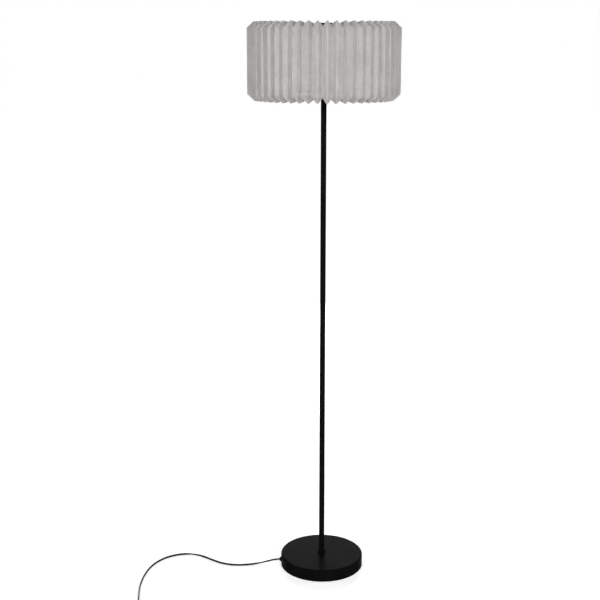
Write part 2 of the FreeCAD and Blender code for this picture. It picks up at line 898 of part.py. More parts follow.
def rounded_route(label, points, widest_bend=None):
    """Straight runs between the points, joined by the largest arcs that the runs allow."""
    edges = []
    radii = []
    start = points[0]
    for before, corner, after in zip(points, points[1:], points[2:]):
        back = before - corner
        ahead = after - corner
        half_turn = (math.pi - back.getAngle(ahead)) / 2
        setback = BEND_SHARE * min(back.Length, ahead.Length)
        if widest_bend:
            setback = min(setback, widest_bend * math.tan(half_turn))
        enter = corner + Vector(back).normalize() * setback
        leave = corner + Vector(ahead).normalize() * setback
        edges.append(Part.LineSegment(start, enter))
        edges.append(arc_from(enter, Vector(back).normalize() * -1, leave))
        radii.append(setback / math.tan(half_turn))
        start = leave
    edges.append(Part.LineSegment(start, points[-1]))
    print(label, "bend radii", [round(radius) for radius in radii])
    return Part.Wire([edge.toShape() for edge in edges])


def tube_along(label, wire):
    """Round cord along a wire, with its volume compared with section times length."""
    radius = value("cord_radius")
    first = wire.OrderedEdges[0]
    start = first.valueAt(first.FirstParameter)
    heading = first.tangentAt(first.FirstParameter)
    section = Part.Wire(Part.Circle(start, heading, radius).toShape())
    solid = wire.makePipeShell([section], True, False)
    expected = math.pi * radius ** 2 * wire.Length
    print(label, "length", round(wire.Length, 1), "volume share", round(solid.Volume / expected, 4))
    return set_shape(label, solid)


def make_inner_cable():
    """From the gland through the foot and up the pole into the lampholder."""
    mouth = value("gland_mouth")
    inlet = value("gland_height")
    floor = value("cable_floor")
    points = [
        Vector(mouth, 0, inlet),
        Vector(mouth + value("cable_inlet"), 0, inlet),
        Vector(-value("cable_slope_end"), 0, floor),
        Vector(0, 0, floor),
        Vector(0, 0, value("core_floor")),
    ]
    tube_along("inner_cable", rounded_route("inner_cable", points, value("cable_bend")))


def make_cord_gland():
    """Rubber bush through the wall of the foot, turned about its own axis."""
    bore = "cord_radius + fit_gap"
    neck = "gland_neck_diameter / 2"
    seat = "-cover_wall - gland_seat"
    flange = "gland_flange_diameter / 2"
    body = turned_body("cord_gland", [
        (bore, f"{seat} - gland_flange"),
        (flange, f"{seat} - gland_flange"),
        (flange, seat),
        (neck, seat),
        (neck, "0"),
        ("gland_base_diameter / 2", "0"),
        ("gland_tip_diameter / 2", "gland_length"),
        (bore, "gland_length"),
    ])
    body.Placement = Placement(Vector(), Rotation(Vector(0, 1, 0), -90))
    tie(body, "Placement.Base.x", "-base_radius")
    tie(body, "Placement.Base.z", "gland_height")


def make_cord_lead():
    mouth = Vector(value("gland_mouth"), 0, value("gland_height"))
    tube_along("cord_lead", rounded_route("cord_lead", [mouth] + LEAD_POINTS))


def coil_radii():
    """Radius of each half turn on the way in, of the climb and on the way out."""
    largest = value("coil_diameter") / 2
    step = value("coil_step")
    count = int(value("coil_half_turns"))
    inwards = [largest - index * step for index in range(count)]
    return inwards, inwards[-1] - step, inwards[:0:-1]


def coil_curves():
    """Flat spiral inwards, a climbing half turn, and a spiral outwards on top."""
    inwards, inner, outwards = coil_radii()
    here = Vector(LEAD_POINTS[-1])
    side = 1
    straight = Vector(0, -value("cord_diameter"), 0)
    curves = [Part.LineSegment(here, here + straight)]
    here = here + straight
    for radius in inwards:
        here, side = add_half_turn(curves, here, side, radius)
    rise = value("coil_rise")
    quarter = here + Vector(side * inner, -side * inner, rise / 2)
    end = here + Vector(2 * side * inner, 0, rise)
    slope = value("climb_steepness") * rise / (math.pi * inner)
    across = Vector(side, 0, slope).normalize()
    curves += biarc(here, Vector(0, -side, 0), quarter, across)
    curves += biarc(quarter, across, end, Vector(0, side, 0))
    here, side = end, -side
    for radius in outwards:
        here, side = add_half_turn(curves, here, side, radius)
    curves.append(Part.LineSegment(here, here + straight))
    return curves


def add_half_turn(curves, here, side, radius):
    middle = here + Vector(side * radius, -side * radius, 0)
    there = here + Vector(2 * side * radius, 0, 0)
    curves.append(Part.Arc(here, middle, there))
    return there, -side


def least_gap(wire, diameter):
    """Least clear distance between turns, on points along the centre line."""
    spacing = diameter / 2
    points = wire.discretize(Distance=spacing)
    apart = round(3 * diameter / spacing)
    nearest = min((far - near).Length
                  for index, near in enumerate(points)
                  for far in points[index + apart:])
    return nearest - diameter


def make_cord_coil():
    wire = Part.Wire([curve.toShape() for curve in coil_curves()])
    print("cord_coil least gap", round(least_gap(wire, value("cord_diameter")), 2))
    tube_along("cord_coil", wire)


def coil_end():
    last = coil_curves()[-1]
    return last.EndPoint


def make_cord_tail():
    tube_along("cord_tail", rounded_route("cord_tail", [coil_end()] + TAIL_POINTS))


def make_cord_tie():
    """Band round the right side of the coil."""
    inwards = coil_radii()[0]
    slack = value("tie_slack")
    outer_edge = LEAD_POINTS[-1].x + 2 * inwards[0] + value("cord_radius") + slack
    inner_edge = outer_edge - 2 * (inwards[0] - inwards[-1]) - value("cord_diameter") - 2 * slack
    roof = value("coil_floor") + value("coil_rise") + value("cord_radius") + value("tie_gap")
    wall = value("tie_wall")
    width = value("tie_width")
    middle = LEAD_POINTS[-1].y - value("cord_diameter")
    front = middle - width / 2
    across = outer_edge - inner_edge
    inside = Part.makeBox(across, width, roof - wall, Vector(inner_edge, front, wall))
    outside = Part.makeBox(across + 2 * wall, width, roof + wall, Vector(inner_edge - wall, front, 0))
    set_shape("cord_tie", outside.cut(inside))


# Plug


def plug_placement():
    """Local Z along the end of the cord, local Y up."""
    ahead = (TAIL_POINTS[-1] - TAIL_POINTS[-2]).normalize()
    return Placement(TAIL_POINTS[-1], Rotation(UP.cross(ahead), UP, ahead, "ZYX"))


def plug_section(body, name, width, thickness, rounding, height):
    across = f"{width} / 2"
    along = f"{thickness} / 2"
    flat = f"({across} - {rounding})"
    tall = f"({along} - {rounding})"
    return draw_outline(new_sketch(body, name, "XY_Plane", height), [
        (f"-{flat}", f"-({along})"),
        (flat, f"-({along})", rounding, 1),
        (across, f"-{tall}"),
        (across, tall, rounding, 1),
        (flat, along),
        (f"-{flat}", along, rounding, 1),
        (f"-({across})", tall),
        (f"-({across})", f"-{tall}", rounding, 1),
    ])


def make_plug_body():
    body = new_body("plug_body")
    shoulder = "plug_neck_length + plug_shoulder"
    sections = [
        plug_section(body, "neck_end", "plug_neck_width", "plug_neck_thickness", "plug_round", "0"),
        plug_section(body, "neck_root", "plug_neck_width", "plug_neck_thickness", "plug_round",
                     "plug_neck_length"),
        plug_section(body, "shoulder", "plug_width", "plug_thickness", "plug_round", shoulder),
        plug_section(body, "face", "plug_width", "plug_thickness", "plug_round", "plug_length"),
    ]
    loft = body.newObject("PartDesign::AdditiveLoft", "plug_loft")
    loft.Profile = sections[0]
    loft.Sections = sections[1:]
    loft.Ruled = True
    body.Placement = plug_placement()


def make_plug_blades():
    blades = []
    for name, side in (("left", "-"), ("right", "")):
        flat = doc.addObject("Part::Box", f"blade_{name}_flat")
        tie(flat, "Length", "blade_thickness")
        tie(flat, "Width", "blade_width")
        tie(flat, "Height", "blade_length")
        tie(flat, "Placement.Base.x", f"{side}blade_spacing / 2 - blade_thickness / 2")
        tie(flat, "Placement.Base.y", "-blade_width / 2")
        tie(flat, "Placement.Base.z", "plug_length")
        hole = doc.addObject("Part::Cylinder", f"blade_{name}_hole")
        hole.Placement = Placement(Vector(), Rotation(Vector(0, 1, 0), 90))
        tie(hole, "Radius", "blade_hole / 2")
        tie(hole, "Height", "blade_thickness")
        tie(hole, "Placement.Base.x", f"{side}blade_spacing / 2 - blade_thickness / 2")
        tie(hole, "Placement.Base.z", "plug_length + blade_length - blade_hole_inset")
        blades.append(new_cut(f"blade_{name}", flat, hole))
    group = new_group("plug_blades", blades)
    group.Placement = plug_placement()


# Whole lamp


def make_lamp():
    make_base_cover()
    make_base_weight()
    make_base_pad()
    make_base_fasteners()
    make_pole_collar()
    make_pole()
    make_harp_saddle()
    make_harp()
    make_harp_sleeves()
    make_finial()
    make_socket_cap()
    make_socket_shell()
    make_socket_liner()
    make_socket_core()
    make_socket_screw_shell()
    make_socket_contact()
    make_switch_knob()
    make_bulb()
    make_shade_fabric()
    make_shade_top_frame()
    make_shade_bottom_ring()
    make_inner_cable()
    make_cord_gland()
    make_cord_lead()
    make_cord_coil()
    make_cord_tail()
    make_cord_tie()
    make_plug_body()
    make_plug_blades()


def check_document():
    for item in doc.Objects:
        if "Invalid" in item.State or "Error" in item.State:
            raise ValueError(f"{item.Label} failed: {item.State}")
    for item in EXPORTED:
        if item.Shape.isNull() or not item.Shape.isValid() or not item.Shape.Solids:
            raise ValueError(f"{item.Label} has no valid solid")


def export_parts():
    os.makedirs("parts", exist_ok=True)
    for item in EXPORTED:
        item.Shape.exportStep(f"parts/{item.Label}.step")
    print(len(EXPORTED), "sub-parts written")


fill_sheet()
make_lamp()
doc.recompute()
check_document()
export_parts()
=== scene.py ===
import json
import math

import bpy
from mathutils import Matrix, Vector, noise


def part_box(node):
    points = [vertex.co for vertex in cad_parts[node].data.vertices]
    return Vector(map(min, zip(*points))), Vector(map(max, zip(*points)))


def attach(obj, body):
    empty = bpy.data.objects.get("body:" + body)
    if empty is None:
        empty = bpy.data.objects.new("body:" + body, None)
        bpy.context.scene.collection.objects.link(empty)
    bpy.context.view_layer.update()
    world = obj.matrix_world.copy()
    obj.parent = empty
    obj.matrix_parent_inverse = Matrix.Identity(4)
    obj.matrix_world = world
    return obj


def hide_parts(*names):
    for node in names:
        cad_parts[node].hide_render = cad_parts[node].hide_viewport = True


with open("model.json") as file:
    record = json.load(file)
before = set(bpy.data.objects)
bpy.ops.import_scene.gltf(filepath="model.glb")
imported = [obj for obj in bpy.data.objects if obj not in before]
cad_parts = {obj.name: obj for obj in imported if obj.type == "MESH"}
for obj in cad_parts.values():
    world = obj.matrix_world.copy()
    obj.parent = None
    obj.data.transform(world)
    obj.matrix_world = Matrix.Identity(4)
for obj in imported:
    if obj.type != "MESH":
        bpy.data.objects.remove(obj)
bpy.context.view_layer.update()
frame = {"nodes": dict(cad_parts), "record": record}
nodes = frame["nodes"]

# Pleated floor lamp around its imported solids. Lengths are metres, the pole stands on the
# origin, +Z is up and -Y is the front.

UP = Vector((0, 0, 1))
WHITE = (1, 1, 1, 1)

# Camera of the photograph
CAMERA_PLACE = (-0.0614, -2.8822, 1.4551)
CAMERA_PITCH = math.radians(13.34)
CAMERA_LENS = 65.94
CAMERA_SENSOR = 36

# Studio: pale floor that glows outside the lamp's shadow, and soft boxes
FLOOR_SIZE = 40
FLOOR_COLOUR = (0.86, 0.86, 0.86, 1)
FLOOR_ROUGHNESS = 0.9
FLOOR_GLOW = 0.45
GLOW_START = 0.6
GLOW_END = 1.8
WORLD_LIGHT = 0.05
LAMPS = (
    # name, place, aimed at, size, level
    ("left_box", (-1.65, -3.28, 2.0), (0, 0, 1.1), 0.5, 0.49),
    ("right_box", (1.6, -3.3, 2.0), (0, 0, 1.1), 0.5, 0.57),
    ("front_box", (0, -3.6, 1.8), (0, 0, 1.1), 2.0, 0.03),
    ("back_box", (0, 3.2, 1.4), (0, 0, 1.4), 2.4, 1.28),
    ("side_left", (-3.4, 0.4, 1.6), (0, 0, 1.2), 1.6, 0.16),
    ("side_right", (3.4, 0.4, 1.6), (0, 0, 1.2), 1.6, 0.16),
)

# Plain finishes
FINISHES = (
    # name, darkest and lightest colour, range of roughness,
    # size of the clouds, size and depth of the relief, metallic, specular
    ("black_coat", (0.0036, 0.0036, 0.0037), (0.0056, 0.0056, 0.0057), (0.30, 0.40),
     0.06, 0.0011, 0.00004, 0, 0.0016),
    ("raw_iron", (0.055, 0.05, 0.045), (0.12, 0.115, 0.11), (0.6, 0.85),
     0.02, 0.003, 0.0004, 0.5, 0.5),
    ("foot_foam", (0.016, 0.016, 0.016), (0.026, 0.026, 0.026), (0.85, 0.95),
     0.03, 0.0009, 0.0002, 0, 0.2),
    ("zinc_steel", (0.46, 0.47, 0.48), (0.60, 0.60, 0.58), (0.28, 0.42),
     0.008, 0.0006, 0.00002, 1, 0.5),
    ("card_liner", (0.22, 0.16, 0.10), (0.33, 0.25, 0.16), (0.7, 0.9),
     0.006, 0.0006, 0.00006, 0, 0.3),
    ("black_phenolic", (0.010, 0.009, 0.009), (0.018, 0.016, 0.015), (0.22, 0.34),
     0.01, 0.002, 0.00002, 0, 0.5),
    ("contact_brass", (0.58, 0.40, 0.16), (0.74, 0.56, 0.26), (0.24, 0.40),
     0.008, 0.0006, 0.00002, 1, 0.5),
    ("nickel", (0.62, 0.61, 0.58), (0.74, 0.73, 0.71), (0.18, 0.30),
     0.01, 0.0006, 0.00001, 1, 0.5),
    ("white_plastic", (0.74, 0.74, 0.72), (0.81, 0.81, 0.79), (0.36, 0.46),
     0.02, 0.0012, 0.00002, 0, 0.5),
    ("white_wire", (0.68, 0.68, 0.67), (0.78, 0.78, 0.77), (0.28, 0.40),
     0.02, 0.0015, 0.00003, 0, 0.5),
    ("cord_sheath", (0.006, 0.006, 0.006), (0.010, 0.010, 0.010), (0.44, 0.58),
     0.02, 0.0008, 0.00003, 0, 0.06),
    ("gland_rubber", (0.0046, 0.0046, 0.0046), (0.0075, 0.0075, 0.0075), (0.6, 0.75),
     0.008, 0.0007, 0.00004, 0, 0.08),
    ("plug_plastic", (0.009, 0.009, 0.009), (0.014, 0.014, 0.014), (0.42, 0.55),
     0.015, 0.0009, 0.00004, 0, 0.3),
    ("band_felt", (0.008, 0.008, 0.008), (0.018, 0.018, 0.018), (0.8, 0.95),
     0.003, 0.0004, 0.0002, 0, 0.15),
    ("stitch_thread", (0.62, 0.60, 0.57), (0.74, 0.72, 0.69), (0.8, 0.9),
     0.004, 0.0003, 0.0001, 0, 0.5),
)
# The usual range of a noise, which the finishes spread over their colours
NOISE_RANGE = (0.3, 0.7)

# Opal glass
OPAL_COLOURS = ((0.80, 0.79, 0.76), (0.86, 0.85, 0.83))
OPAL_ROUGHNESS = (0.16, 0.24)
OPAL_CLOUD_SIZE = 0.02
OPAL_WAVE_SIZE = 0.01
OPAL_WAVE_DEPTH = 0.00005
OPAL_SCATTER = 0.4
OPAL_SCATTER_REACH = (0.01, 0.01, 0.008)

# Linen of the shade, and the film that stiffens it from behind
LINEN_COLOURS = ((0.56, 0.557, 0.565), (0.69, 0.691, 0.699))
LINEN_THROUGH = ((0.57, 0.550, 0.538), (0.70, 0.680, 0.667))
LINEN_RANGE = (0.38, 0.62)
LINEN_ROUGHNESS = (0.78, 0.92)
LINEN_SPECULAR = 0.1
LINEN_SHEEN = 0.1
LINEN_RELIEF = 0.00028
LINEN_TRANSLUCENCY = 0.62
SLUB_SIZE = 0.0016
SLUB_STRETCHES = ((0.12, 1, 1), (1, 0.10, 1))
SLUB_SHARE = 0.75
WEAVE_SHARE = 0.6
THREAD_PITCH = 0.0009
THREAD_DISTORTION = 1.4
THREAD_DETAIL = 2
THREAD_DETAIL_SCALE = 0.35
WAVES_PER_SCALE = 20 / (2 * math.pi)
CLOTH_CLOUD_SIZE = 0.03
FILM_COLOURS = ((0.80, 0.79, 0.77), (0.86, 0.85, 0.83))
FILM_ROUGHNESS = 0.5
FILM_GRAIN_SIZE = 0.002
FILM_RELIEF = 0.00003
FILM_TRANSLUCENCY = 0.8

# Pleated shade
SHADE_LOW, SHADE_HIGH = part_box("shade_fabric")
SHADE_BOTTOM = SHADE_LOW.z
SHADE_TOP = SHADE_HIGH.z
PLEAT_COUNT = 50
PLEAT_STEP = 2 * math.pi / PLEAT_COUNT
PLEAT_TURN = math.radians(-2.4)
CREST_RADIUS = 0.1975
VALLEY_RADIUS = 0.180
PANEL_RUN = math.pi / PLEAT_COUNT * CREST_RADIUS
PANEL_LENGTH = math.hypot(PANEL_RUN, CREST_RADIUS - VALLEY_RADIUS)
BEVEL_HEIGHT = 0.0165
RIM_RADIUS = 0.150
RIM_CREST_RISE = 0.0115
RIM_VALLEY_RISE = 0.004
CLOTH_THICKNESS = 0.0008
VALLEY_ROUNDING = 0.32
CREST_ROUNDING = 0.02
PANEL_SHARES = (0.0, 0.015, 0.04, 0.10, 0.22, 0.38, 0.54, 0.68, 0.80, 0.90, 0.96)
PANEL_ROWS = 18
FOLD_SUPPORT = 0.005
RIM_SHARES = (0.0, 0.4, 0.8, 0.97)

# Slow unevenness of the folds: seed and size of each kind, and how fast it changes
PANEL_WOBBLE = (5, 0.0006)
EDGE_WOBBLE = (17, 0.0004)
TURN_WOBBLE = (29, 0.004)
EDGE_LEVEL = 0.5
WOBBLE_AROUND = 3
WOBBLE_UPRIGHT = 1.3
WOBBLE_PACE = 2.3

# Overcast stitches that hold each valley on the two wire rings
RING_WIRE = 0.0032
STITCH_RADIUS = 0.17725
STITCH_REACH = 0.0026
STITCH_HEIGHT = 0.0021
STITCH_THREAD = 0.00025
STITCH_OFFSETS = (-0.0005, 0.0005)
STITCH_STEPS = 14
STITCH_SIDES = 5

# Foam pad under the foot
PAD_ROUNDING = 0.0008
PAD_CORNER_SHARE = 0.3
PAD_HOLLOW = 0.0003
PAD_HOLLOW_SHARE = 0.80
PAD_TREAD_SHARE = 0.92
PAD_STEPS = 120

# Band round the coil
BAND_GAP = 0.00015
BAND_CORNER_STEPS = 6
BAND_STRAIGHT = 1e-7
BAND_WALL = 0.0008
BAND_ROUNDING = 0.0003

# Moulded plug, along the end of the cord. Its sizes across are halves.
PLUG_LENGTH = 0.034
PLUG_SIZE = (0.012, 0.0073)
PLUG_CORNER = 0.003
PLUG_CORNER_SHARE = 0.7
PLUG_EDGE = 0.0014
PLUG_EDGE_STEPS = 5
NECK_LENGTH = 0.012
NECK_SIZE = (0.005, 0.0043)
NECK_TAPER = 0.0011
NECK_RINGS = 4
NECK_GROOVE = 0.0006
# Share of a ring's pitch, and share of the groove's depth there
NECK_PROFILE = ((0, 1), (0.1, 0.3), (0.2, 0), (0.55, 0), (0.65, 0.3), (0.75, 1))
SHOULDER_LENGTH = 0.006
SHOULDER_STEPS = 7
GRIP_START = 0.0205
GRIP_STEP = 0.0022
GRIP_COUNT = 4
GRIP_DEPTH = 0.0005
GRIP_SLOPE = 0.0003
# Slopes from a groove's middle, and share of its depth there
GRIP_PROFILE = ((-2, 0), (-1, 1), (1, 1), (2, 0))
SECTION_CORNER_STEPS = 6
SHARP_FOLD = math.radians(35)

# Route of the cord's middle: along the floor, round the coil and on to the plug
CORD_EXIT = Vector((-0.120, 0, 0.012))
LEAD_POINTS = (
    (-0.134, 0, 0.0112),
    (-0.152, -0.002, 0.0070),
    (-0.172, -0.0055, 0.0036),
    (-0.196, -0.0135, 0.003),
    (-0.226, -0.019, 0.003),
    (-0.258, -0.0175, 0.003),
    (-0.288, -0.006, 0.003),
    (-0.316, 0.015, 0.003),
    (-0.345, 0.0385, 0.003),
    (-0.375, 0.0505, 0.003),
    (-0.406, 0.049, 0.003),
    (-0.438, 0.035, 0.003),
    (-0.465, 0.008, 0.003),
    (-0.483, -0.027, 0.003),
    (-0.493, -0.068, 0.003),
    (-0.498, -0.112, 0.003),
    (-0.498, -0.158, 0.003),
    (-0.493, -0.204, 0.0033),
    (-0.488, -0.248, 0.0038),
    (-0.488, -0.285, 0.0038),
)
TAIL_POINTS = (
    (-0.482, -0.312, 0.0097),
    (-0.478, -0.334, 0.0088),
    (-0.470, -0.356, 0.0076),
    (-0.462, -0.372, 0.0076),
)
ROUTE_ORDER = 3
ROUTE_STEPS = 8
CORD_WIDTH = 0.0054
COIL_RADIUS = 0.038
COIL_STEP = 0.003
COIL_HALF_TURNS = 5
COIL_RISE = 0.0059
COIL_POINTS = 8

# Section of the flat twin, and how far it has turned by the distance from the gland
TWIN_WIDTH = 0.0057
TWIN_CORE_RADIUS = 0.00185
TWIN_CORE_OFFSET = TWIN_WIDTH / 2 - TWIN_CORE_RADIUS
TWIN_STEPS = 10
CORD_TWIST = ((0, 0), (0.03, 0), (0.09, 90), (0.215, 90), (0.262, 180), (0.30, 270))
PLUG_TWIST = 360
PLUG_TWIST_LENGTH = 0.06


def ease(share):
    """A share of the way, with a soft start and stop."""
    return share * share * (3 - 2 * share)


# Materials


def new_material(name):
    material = bpy.data.materials.new(name)
    material.use_nodes = True
    return material, material.node_tree, material.node_tree.nodes["Principled BSDF"]


def fill(tree, socket, content):
    """Sets a socket to a value, or links it to another socket."""
    if isinstance(content, bpy.types.NodeSocket):
        tree.links.new(content, socket)
    else:
        socket.default_value = content


def put(tree, kind, inputs=None, **settings):
    node = tree.nodes.new("ShaderNode" + kind)
    for name, content in settings.items():
        setattr(node, name, content)
    for name, content in (inputs or {}).items():
        fill(tree, node.inputs[name], content)
    return node


def place(tree):
    """Object coordinates."""
    return put(tree, "TexCoord").outputs["Object"]


def stretch(tree, where, scale):
    return put(tree, "Mapping", {"Vector": where, "Scale": scale}).outputs["Vector"]


def grain(tree, where, size, detail=2):
    """Noise whose features are about size metres."""
    inputs = {"Vector": where, "Scale": 1 / size, "Detail": detail}
    return put(tree, "TexNoise", inputs).outputs["Fac"]


def spread(tree, source, low, high, start=NOISE_RANGE[0], stop=NOISE_RANGE[1]):
    """The source's range from start to stop, moved to low to high."""
    inputs = {"Value": source, "From Min": start, "From Max": stop, "To Min": low, "To Max": high}
    return put(tree, "MapRange", inputs).outputs["Result"]


def shade_between(tree, source, dark, light, start=NOISE_RANGE[0], stop=NOISE_RANGE[1]):
    ramp = put(tree, "ValToRGB", {"Fac": source})
    ramp.color_ramp.elements[0].position = start
    ramp.color_ramp.elements[0].color = (*dark, 1)
    ramp.color_ramp.elements[1].position = stop
    ramp.color_ramp.elements[1].color = (*light, 1)
    return ramp.outputs["Color"]


def combine(tree, operation, first, second):
    node = put(tree, "Math", operation=operation)
    fill(tree, node.inputs[0], first)
    fill(tree, node.inputs[1], second)
    return node.outputs["Value"]


def relief(tree, height, depth):
    return put(tree, "Bump", {"Height": height, "Distance": depth}).outputs["Normal"]


def plain_finish(name, dark, light, roughness, cloud_size, relief_size, depth, metallic, specular):
    """A finish with cloudy colour, uneven gloss and a fine relief."""
    material, tree, shader = new_material(name)
    where = place(tree)
    cloud = grain(tree, where, cloud_size, 4)
    fine = grain(tree, where, relief_size, 2)
    gloss = grain(tree, where, cloud_size / 3, 3)
    fill(tree, shader.inputs["Base Color"], shade_between(tree, cloud, dark, light))
    fill(tree, shader.inputs["Roughness"], spread(tree, gloss, *roughness))
    fill(tree, shader.inputs["Normal"], relief(tree, fine, depth))
    fill(tree, shader.inputs["Metallic"], metallic)
    fill(tree, shader.inputs["Specular IOR Level"], specular)
    return material


def make_opal_glass():
    material, tree, shader = new_material("opal_glass")
    where = place(tree)
    cloud = grain(tree, where, OPAL_CLOUD_SIZE, 3)
    waves = grain(tree, where, OPAL_WAVE_SIZE, 1)
    fill(tree, shader.inputs["Base Color"], shade_between(tree, cloud, *OPAL_COLOURS))
    fill(tree, shader.inputs["Roughness"], spread(tree, cloud, *OPAL_ROUGHNESS))
    fill(tree, shader.inputs["Normal"], relief(tree, waves, OPAL_WAVE_DEPTH))
    fill(tree, shader.inputs["Subsurface Weight"], OPAL_SCATTER)
    fill(tree, shader.inputs["Subsurface Radius"], OPAL_SCATTER_REACH)
    return material


def threads(tree, where, direction):
    """Bands along one set of threads, slightly uneven."""
    inputs = {
        "Vector": where,
        "Scale": 1 / (THREAD_PITCH * WAVES_PER_SCALE),
        "Distortion": THREAD_DISTORTION,
        "Detail": THREAD_DETAIL,
        "Detail Scale": THREAD_DETAIL_SCALE,
    }
    return put(tree, "TexWave", inputs, bands_direction=direction).outputs["Fac"]


def mean_slubs(tree, where):
    """Long thick spots in the threads of both directions."""
    along, upright = (grain(tree, stretch(tree, where, scale), SLUB_SIZE, 3)
                      for scale in SLUB_STRETCHES)
    return combine(tree, "MULTIPLY", combine(tree, "ADD", along, upright), 0.5)


def make_linen():
    """Plain weave with slubs in both thread directions, which lets some light through."""
    material, tree, shader = new_material("linen")
    where = put(tree, "UVMap", uv_map="weave").outputs["UV"]
    slubs = mean_slubs(tree, where)
    cloud = grain(tree, where, CLOTH_CLOUD_SIZE, 3)
    tone = combine(tree, "ADD", combine(tree, "MULTIPLY", slubs, SLUB_SHARE),
                   combine(tree, "MULTIPLY", cloud, 1 - SLUB_SHARE))
    weave = combine(tree, "MAXIMUM", threads(tree, where, "X"), threads(tree, where, "Y"))
    height = combine(tree, "ADD", combine(tree, "MULTIPLY", weave, WEAVE_SHARE), slubs)
    normal = relief(tree, height, LINEN_RELIEF)
    colour = shade_between(tree, tone, *LINEN_COLOURS, *LINEN_RANGE)
    through = shade_between(tree, tone, *LINEN_THROUGH, *LINEN_RANGE)
    fill(tree, shader.inputs["Base Color"], colour)
    fill(tree, shader.inputs["Roughness"], spread(tree, slubs, *LINEN_ROUGHNESS))
    fill(tree, shader.inputs["Normal"], normal)
    fill(tree, shader.inputs["Specular IOR Level"], LINEN_SPECULAR)
    fill(tree, shader.inputs["Sheen Weight"], LINEN_SHEEN)
    let_light_through(tree, shader, through, normal, LINEN_TRANSLUCENCY)
    return material


def make_shade_backing():
    """Milky film that stiffens the linen from behind."""
    material, tree, shader = new_material("shade_backing")
    where = place(tree)
    colour = shade_between(tree, grain(tree, where, CLOTH_CLOUD_SIZE, 3), *FILM_COLOURS)
    normal = relief(tree, grain(tree, where, FILM_GRAIN_SIZE), FILM_RELIEF)
    fill(tree, shader.inputs["Base Color"], colour)
    fill(tree, shader.inputs["Roughness"], FILM_ROUGHNESS)
    fill(tree, shader.inputs["Normal"], normal)
    let_light_through(tree, shader, colour, normal, FILM_TRANSLUCENCY)
    return material


def let_light_through(tree, shader, colour, normal, share):
    through = put(tree, "BsdfTranslucent", {"Color": colour, "Normal": normal})
    mixed = put(tree, "MixShader", {"Fac": share})
    fill(tree, mixed.inputs[1], shader.outputs["BSDF"])
    fill(tree, mixed.inputs[2], through.outputs["BSDF"])
    fill(tree, tree.nodes["Material Output"].inputs["Surface"], mixed.outputs["Shader"])


materials = {finish[0]: plain_finish(*finish) for finish in FINISHES}
materials["opal_glass"] = make_opal_glass()
materials["linen"] = make_linen()
materials["shade_backing"] = make_shade_backing()


def dress_nodes():
    """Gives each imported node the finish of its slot."""
    for row in frame["record"]["subparts"]:
        mesh = nodes[row["node"]].data
        mesh.materials.clear()
        mesh.materials.append(materials[row["material_slot"]])


# Meshes


def add_piece(name, mesh, body, finish, slot, *replaced):
    piece = bpy.data.objects.new(name, mesh)
    bpy.context.scene.collection.objects.link(piece)
    mesh.materials.append(materials[finish])
    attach(piece, body)
    if replaced:
        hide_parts(*replaced)
    return piece


def new_mesh(name, points, faces):
    mesh = bpy.data.meshes.new(name)
    mesh.from_pydata(points, [], faces)
    mesh.validate()
    mesh.shade_smooth()
    return mesh


def loop_faces(rings, count, closed=False):
    """Quads between neighbouring rings of count points each."""
    faces = []
    for ring in range(rings if closed else rings - 1):
        here = ring * count
        there = (ring + 1) % rings * count
        for index in range(count):
            after = (index + 1) % count
            faces.append((here + index, here + after, there + after, there + index))
    return faces


def capped_faces(rings, count):
    """Quads between neighbouring rings, and a face over each end."""
    last = (rings - 1) * count
    caps = [tuple(reversed(range(count))), tuple(range(last, last + count))]
    return loop_faces(rings, count) + caps


# Pleated shade


def pleat_height(share):
    """Height of the rounded pleat over its valley, by the share of the way from the crest."""
    rise = max(1 - math.hypot(share, CREST_ROUNDING) + CREST_ROUNDING, 0)
    full = math.hypot(1, VALLEY_ROUNDING) - VALLEY_ROUNDING
    return (math.hypot(rise, VALLEY_ROUNDING) - VALLEY_ROUNDING) / full


def pleat_columns():
    """Half pleats from the first crest, height of the pleat and depth of its back, by column."""
    places = []
    for half in range(2 * PLEAT_COUNT):
        for share in PANEL_SHARES:
            from_crest = share if half % 2 == 0 else 1 - share
            places.append((half + share, pleat_height(from_crest)))
    columns = []
    for index, (half_pleats, height) in enumerate(places):
        before, after = places[index - 1], places[(index + 1) % len(places)]
        columns.append((half_pleats, height, cloth_inset(before, after)))
    return columns


def cloth_inset(before, after):
    """Radial depth of the back of the cloth, so that its panels keep their thickness."""
    run = ((after[0] - before[0]) % (2 * PLEAT_COUNT)) * PANEL_RUN
    rise = (after[1] - before[1]) * (CREST_RADIUS - VALLEY_RADIUS)
    return CLOTH_THICKNESS * math.hypot(run, rise) / run


def rim_lift():
    """Upright depth of the back of the folded-in rims."""
    return CLOTH_THICKNESS * math.hypot(PANEL_RUN, BEVEL_HEIGHT) / PANEL_RUN


def cloth_rows():
    """Share of the way out along a rim and level on the panel, from the bottom rim to the top."""
    inner = [row / PANEL_ROWS for row in range(1, PANEL_ROWS)]
    levels = [0, FOLD_SUPPORT, *inner, 1 - FOLD_SUPPORT, 1]
    bottom = [(share, 0) for share in RIM_SHARES]
    top = [(share, 1) for share in reversed(RIM_SHARES)]
    return bottom + [(1, level) for level in levels] + top


def wobble(half_pleats, level, seed, size):
    """Slow unevenness of the folds, the same after a full turn."""
    angle = half_pleats * math.pi / PLEAT_COUNT
    spot = Vector((WOBBLE_AROUND * math.cos(angle) + seed, WOBBLE_AROUND * math.sin(angle),
                   WOBBLE_UPRIGHT * level))
    return noise.noise(spot * WOBBLE_PACE) * size


